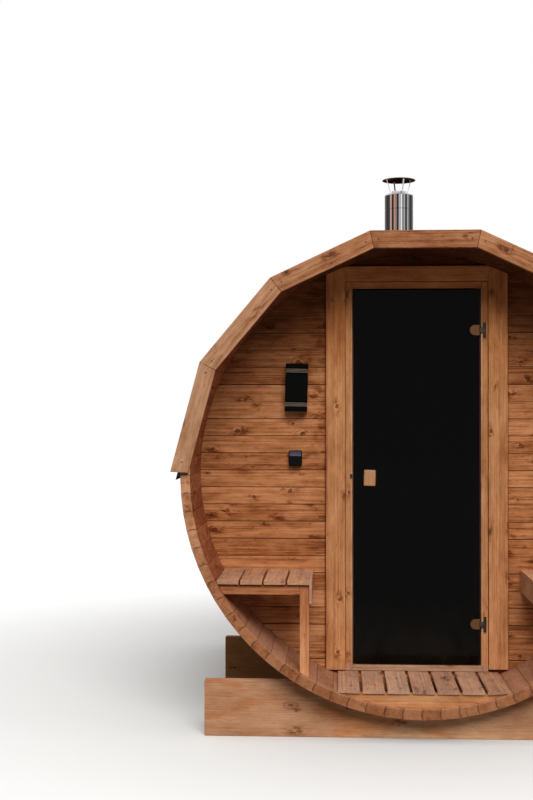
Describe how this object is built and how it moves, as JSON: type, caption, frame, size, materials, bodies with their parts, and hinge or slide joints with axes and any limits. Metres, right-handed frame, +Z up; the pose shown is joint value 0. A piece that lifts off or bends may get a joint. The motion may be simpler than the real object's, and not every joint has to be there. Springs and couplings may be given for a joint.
{
  "type": "barrel sauna",
  "caption": "Horizontal wooden barrel sauna with an open front porch, benches, dark glass door, mitred fascia, steel flue and cradle feet.",
  "frame": {"origin": "on the ground under the middle of the barrel, where its axis and its half length cross in plan", "axes": "+Z up; -Y to the porch and the door; +X to the right as one faces the door"},
  "size_m": [2.3116, 2.556, 2.95],
  "materials": {
    "stave_wood": "stained",
    "wall_wood": "stained",
    "trim_wood": "stained",
    "slat_wood": "weathered",
    "tinted_glass": "polished",
    "stainless_steel": "brushed",
    "hinge_metal": "satin",
    "black_plastic": "matte",
    "lamp_diffuser": "frosted",
    "bitumen_covering": "granular"
  },
  "bodies": {
    "sauna": {"bench_left_frame": "slat_wood", "bench_left_slats": "slat_wood", "bench_right_frame": "slat_wood", "bench_right_slats": "slat_wood", "casing_head": "trim_wood", "casing_left": "trim_wood", "casing_right": "trim_wood", "chimney_cap": "stainless_steel", "chimney_cap_legs": "stainless_steel", "chimney_pipe": "stainless_steel", "cradle_front": "trim_wood", "cradle_middle": "trim_wood", "cradle_rear": "trim_wood", "door_catch": "hinge_metal", "door_head": "trim_wood", "door_jambs": "trim_wood", "door_threshold": "trim_wood", "fascia_front": "trim_wood", "fascia_rear": "trim_wood", "front_wall_left": "wall_wood", "front_wall_over_door": "wall_wood", "front_wall_right": "wall_wood", "front_wall_under_door": "wall_wood", "hinge_frame_parts": "hinge_metal", "hoop_bolts": "stainless_steel", "hoops": "stainless_steel", "lamp_bands": "lamp_diffuser", "porch_floor_bearers": "slat_wood", "porch_floor_slats": "slat_wood", "rear_wall": "wall_wood", "roof_covering": "bitumen_covering", "roof_flashing": "stainless_steel", "room_floor_bearers": "slat_wood", "room_floor_slats": "slat_wood", "staves_bottom": "stave_wood", "staves_bottom_left": "stave_wood", "staves_bottom_right": "stave_wood", "staves_left": "stave_wood", "staves_right": "stave_wood", "staves_top": "stave_wood", "staves_top_left": "stave_wood", "staves_top_right": "stave_wood", "switch_box": "black_plastic", "wall_lamp": "black_plastic"},
    "door": {"door_glass": "tinted_glass", "door_handle": "trim_wood", "hinge_door_parts": "hinge_metal"}
  },
  "joints": [
    {"name": "door_hinge", "type": "hinge", "parent": "sauna", "child": "door", "pos_m": [0.328, -0.828, 1.186], "axis": [0, 0, 1], "range_deg": [0, 105]}
  ]
}
